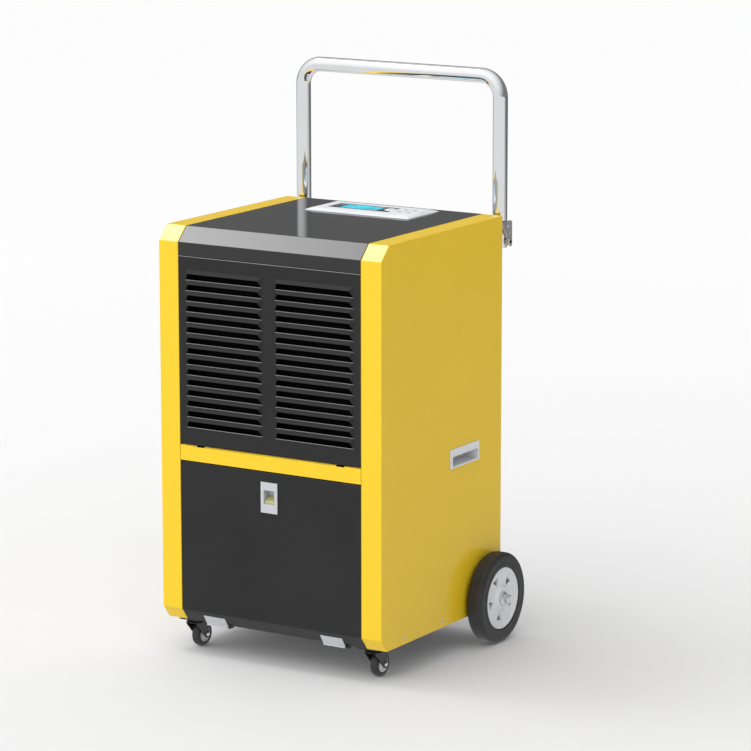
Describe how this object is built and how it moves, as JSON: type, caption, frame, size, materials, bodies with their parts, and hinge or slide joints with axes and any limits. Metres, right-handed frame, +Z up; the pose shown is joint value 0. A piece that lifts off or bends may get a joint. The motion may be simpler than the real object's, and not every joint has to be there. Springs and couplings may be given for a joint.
{
  "type": "commercial dehumidifier",
  "caption": "Portable commercial dehumidifier: steel cabinet with louvred air grille, bottom-hinged tank door, top controls, fold-down push handle, two large rear wheels and two front casters.",
  "frame": {"origin": "on the floor, below the middle of the machine's overall width and depth", "axes": "+X to the right as seen from the front, +Y from the front to the back, +Z up"},
  "size_m": [0.5826, 0.477, 1.075],
  "materials": {
    "yellow_paint": "satin powder coat",
    "charcoal_paint": "fine satin powder coat",
    "gloss_black": "gloss",
    "light_grey_plastic": "satin",
    "white_plastic": "satin gloss",
    "dark_plastic": "matt",
    "dark_window": "gloss",
    "screen": "lit screen",
    "olive_plastic": "satin",
    "chrome_tube": "polished",
    "zinc_steel": "zinc plated",
    "black_steel": "semi-matt black",
    "tyre_rubber": "smooth rubber",
    "copper": "drawn tube",
    "fin_aluminium": "thin fins",
    "tank_plastic": "translucent"
  },
  "bodies": {
    "cabinet": {"side_panel_left": "yellow_paint", "side_panel_right": "yellow_paint", "top_cover": "gloss_black", "centre_band": "yellow_paint", "rear_panel": "charcoal_paint", "outlet_guard": "black_steel", "base_tray": "black_steel", "hinge_pin_left": "black_steel", "hinge_pin_right": "black_steel", "side_grip_left": "white_plastic", "side_grip_right": "white_plastic", "control_bezel": "white_plastic", "screen_frame": "dark_window", "lcd_screen": "screen", "handle_bracket_left": "zinc_steel", "handle_bracket_right": "zinc_steel", "handle_bolt_left": "zinc_steel", "handle_bolt_right": "zinc_steel", "rear_axle": "zinc_steel", "caster_plate_left": "black_steel", "caster_plate_right": "black_steel", "drip_tray": "dark_plastic", "evaporator": "fin_aluminium", "condenser": "fin_aluminium", "suction_pipe": "copper", "discharge_pipe": "copper", "compressor": "black_steel", "control_box": "zinc_steel", "fan_shroud": "zinc_steel", "fan_motor": "black_steel"},
    "grille": {"front_grille": "charcoal_paint", "air_filter": "dark_plastic"},
    "door": {"tank_door": "charcoal_paint", "door_pull_bezel": "light_grey_plastic", "door_pull_insert": "olive_plastic", "hinge_leaf_left": "light_grey_plastic", "hinge_leaf_right": "light_grey_plastic"},
    "tank": {"water_tank": "tank_plastic"},
    "float": {"tank_float": "white_plastic"},
    "handle": {"push_handle": "chrome_tube"},
    "fan": {"fan_rotor": "dark_plastic"},
    "button_power": {"power_button": "white_plastic"},
    "button_set_1": {"set_button_1": "light_grey_plastic"},
    "button_set_2": {"set_button_2": "light_grey_plastic"},
    "button_set_3": {"set_button_3": "light_grey_plastic"},
    "button_set_4": {"set_button_4": "light_grey_plastic"},
    "rear_wheel_left": {"rear_tyre_left": "tyre_rubber", "rear_rim_left": "white_plastic", "hub_cap_left": "zinc_steel"},
    "rear_wheel_right": {"rear_tyre_right": "tyre_rubber", "rear_rim_right": "white_plastic", "hub_cap_right": "zinc_steel"},
    "caster_left": {"caster_fork_left": "black_steel", "caster_bolt_left": "zinc_steel"},
    "caster_right": {"caster_fork_right": "black_steel", "caster_bolt_right": "zinc_steel"},
    "caster_wheel_left": {"caster_tyre_left": "tyre_rubber", "caster_hub_left": "white_plastic"},
    "caster_wheel_right": {"caster_tyre_right": "tyre_rubber", "caster_hub_right": "white_plastic"}
  },
  "joints": [
    {"name": "door_tilt", "type": "hinge", "parent": "cabinet", "child": "door", "pos_m": [0, -0.2155, 0.0588], "axis": [1, 0, 0], "range_deg": [0, 90]},
    {"name": "tank_slide", "type": "slide", "parent": "cabinet", "child": "tank", "axis": [0, -1, 0], "range_m": [0, 0.126]},
    {"name": "float_rise", "type": "hinge", "parent": "tank", "child": "float", "pos_m": [-0.05, -0.0175, 0.324], "axis": [-1, 0, 0], "range_deg": [0, 15]},
    {"name": "grille_tilt", "type": "hinge", "parent": "cabinet", "child": "grille", "pos_m": [0, -0.2315, 0.405], "axis": [1, 0, 0], "range_deg": [0, 25]},
    {"name": "handle_fold", "type": "hinge", "parent": "cabinet", "child": "handle", "pos_m": [0, 0.2235, 0.752], "axis": [-1, 0, 0], "range_deg": [0, 180]},
    {"name": "fan_spin", "type": "hinge", "parent": "cabinet", "child": "fan", "pos_m": [0, 0.1575, 0.602], "axis": [0, 1, 0], "continuous": true},
    {"name": "press_power", "type": "slide", "parent": "cabinet", "child": "button_power", "axis": [0, 0, -1], "range_m": [0, 0.001], "stiffness_N_per_m": 400},
    {"name": "press_set_1", "type": "slide", "parent": "cabinet", "child": "button_set_1", "axis": [0, 0, -1], "range_m": [0, 0.0008], "stiffness_N_per_m": 400},
    {"name": "press_set_2", "type": "slide", "parent": "cabinet", "child": "button_set_2", "axis": [0, 0, -1], "range_m": [0, 0.0008], "stiffness_N_per_m": 400},
    {"name": "press_set_3", "type": "slide", "parent": "cabinet", "child": "button_set_3", "axis": [0, 0, -1], "range_m": [0, 0.0008], "stiffness_N_per_m": 400},
    {"name": "press_set_4", "type": "slide", "parent": "cabinet", "child": "button_set_4", "axis": [0, 0, -1], "range_m": [0, 0.0008], "stiffness_N_per_m": 400},
    {"name": "rear_wheel_left_spin", "type": "hinge", "parent": "cabinet", "child": "rear_wheel_left", "pos_m": [-0.2605, 0.1435, 0.0865], "axis": [1, 0, 0], "continuous": true},
    {"name": "rear_wheel_right_spin", "type": "hinge", "parent": "cabinet", "child": "rear_wheel_right", "pos_m": [0.2605, 0.1435, 0.0865], "axis": [1, 0, 0], "continuous": true},
    {"name": "caster_left_swivel", "type": "hinge", "parent": "cabinet", "child": "caster_left", "pos_m": [-0.1968, -0.1895, 0.052], "axis": [0, 0, 1], "continuous": true},
    {"name": "caster_right_swivel", "type": "hinge", "parent": "cabinet", "child": "caster_right", "pos_m": [0.1968, -0.1895, 0.052], "axis": [0, 0, 1], "continuous": true},
    {"name": "caster_left_roll", "type": "hinge", "parent": "caster_left", "child": "caster_wheel_left", "pos_m": [-0.1968, -0.1698, 0.0243], "axis": [1, 0, 0], "continuous": true},
    {"name": "caster_right_roll", "type": "hinge", "parent": "caster_right", "child": "caster_wheel_right", "pos_m": [0.1968, -0.1698, 0.0243], "axis": [1, 0, 0], "continuous": true}
  ],
  "couplings": [
    {"joint": "tank_slide", "follows": "door_tilt", "m_per_rad": 0.08}
  ]
}
